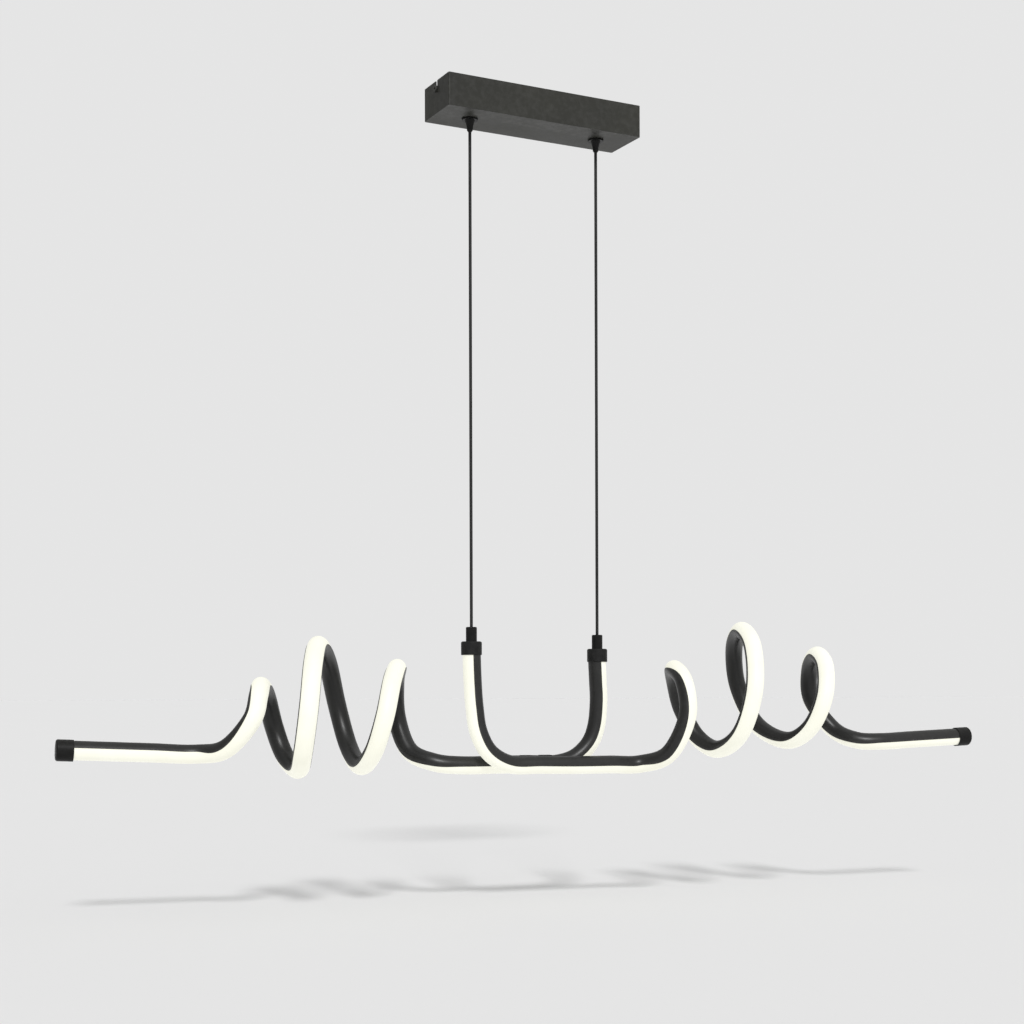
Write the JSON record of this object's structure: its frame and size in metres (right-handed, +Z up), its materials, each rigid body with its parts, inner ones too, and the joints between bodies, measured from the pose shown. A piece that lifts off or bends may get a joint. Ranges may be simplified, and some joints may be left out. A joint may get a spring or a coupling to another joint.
{
  "type": "linear pendant light",
  "caption": "Ceiling canopy with two taut cords carrying a pair of bent light tubes, each with a straight outer arm, a loose coil and an upturned end in a cord grip.",
  "frame": {"origin": "centre of the canopy's mounting face, on the ceiling plane", "axes": "+X along the canopy and the lamp, +Y across it, +Z up into the ceiling"},
  "size_m": [1.1482, 0.2307, 0.8083],
  "materials": {
    "black_coat": "satin",
    "black_aluminium": "satin",
    "black_plastic": "matte",
    "diffuser": "satin",
    "led_strip": "matte",
    "cord_jacket": "satin",
    "zinc_steel": "satin",
    "driver_plastic": "matte",
    "brass": "satin"
  },
  "bodies": {
    "bracket": {"ceiling_bracket": "zinc_steel", "driver_case": "driver_plastic", "driver_end_covers": "driver_plastic", "driver_screws": "zinc_steel", "terminal_block": "driver_plastic", "terminal_screws": "brass", "earth_screw": "brass"},
    "screw_left": {"side_screw_left": "black_coat"},
    "screw_right": {"side_screw_right": "black_coat"},
    "canopy": {"canopy": "black_coat", "gland_left": "black_plastic", "gland_right": "black_plastic", "gland_nut_left": "zinc_steel", "gland_nut_right": "zinc_steel"},
    "beads": {"bead_left": "black_plastic", "bead_right": "black_plastic"},
    "left_cord": {"cord_left": "cord_jacket"},
    "right_cord": {"cord_right": "cord_jacket"},
    "left_ball": {"ball_left": "zinc_steel"},
    "right_ball": {"ball_right": "zinc_steel"},
    "lamp": {"sleeve_left": "black_plastic", "sleeve_right": "black_plastic", "collar_left": "black_aluminium", "collar_right": "black_aluminium", "tube_joiner_left": "black_plastic", "tube_joiner_right": "black_plastic", "channel_left": "black_aluminium", "channel_right": "black_aluminium", "diffuser_left": "diffuser", "diffuser_right": "diffuser", "led_strip_left": "led_strip", "led_strip_right": "led_strip", "end_cap_left": "black_plastic", "end_cap_right": "black_plastic"}
  },
  "joints": [
    {"name": "screw_left_turn", "type": "hinge", "parent": "bracket", "child": "screw_left", "pos_m": [-0.128, 0, -0.0095], "axis": [1, 0, 0], "continuous": true},
    {"name": "screw_right_turn", "type": "hinge", "parent": "bracket", "child": "screw_right", "pos_m": [0.128, 0, -0.0095], "axis": [1, 0, 0], "continuous": true},
    {"name": "canopy_drop", "type": "slide", "parent": "bracket", "child": "canopy", "axis": [0, 0, -1], "range_m": [0, 0.06]},
    {"name": "swing", "type": "hinge", "parent": "canopy", "child": "beads", "pos_m": [0, 0, -0.052], "axis": [1, 0, 0], "range_deg": [-15, 15]},
    {"name": "sway_left", "type": "hinge", "parent": "beads", "child": "left_cord", "pos_m": [-0.085, 0, -0.052], "axis": [0, 1, 0], "range_deg": [-8, 8]},
    {"name": "sway_right", "type": "hinge", "parent": "beads", "child": "right_cord", "pos_m": [0.085, 0, -0.052], "axis": [0, 1, 0], "range_deg": [-8, 8]},
    {"name": "height_left", "type": "slide", "parent": "left_cord", "child": "left_ball", "axis": [0, 0, 1], "range_m": [0, 0.25], "deforming": ["cord_left"]},
    {"name": "height_right", "type": "slide", "parent": "right_cord", "child": "right_ball", "axis": [0, 0, 1], "range_m": [0, 0.25], "deforming": ["cord_right"]},
    {"name": "lamp_level", "type": "hinge", "parent": "left_ball", "child": "lamp", "pos_m": [-0.085, 0, -0.648], "axis": [0, 1, 0], "range_deg": [-8, 8]}
  ],
  "couplings": [
    {"joint": "sway_right", "follows": "sway_left", "ratio": 1},
    {"joint": "height_right", "follows": "height_left", "ratio": 1},
    {"joint": "lamp_level", "follows": "sway_left", "ratio": -1}
  ]
}
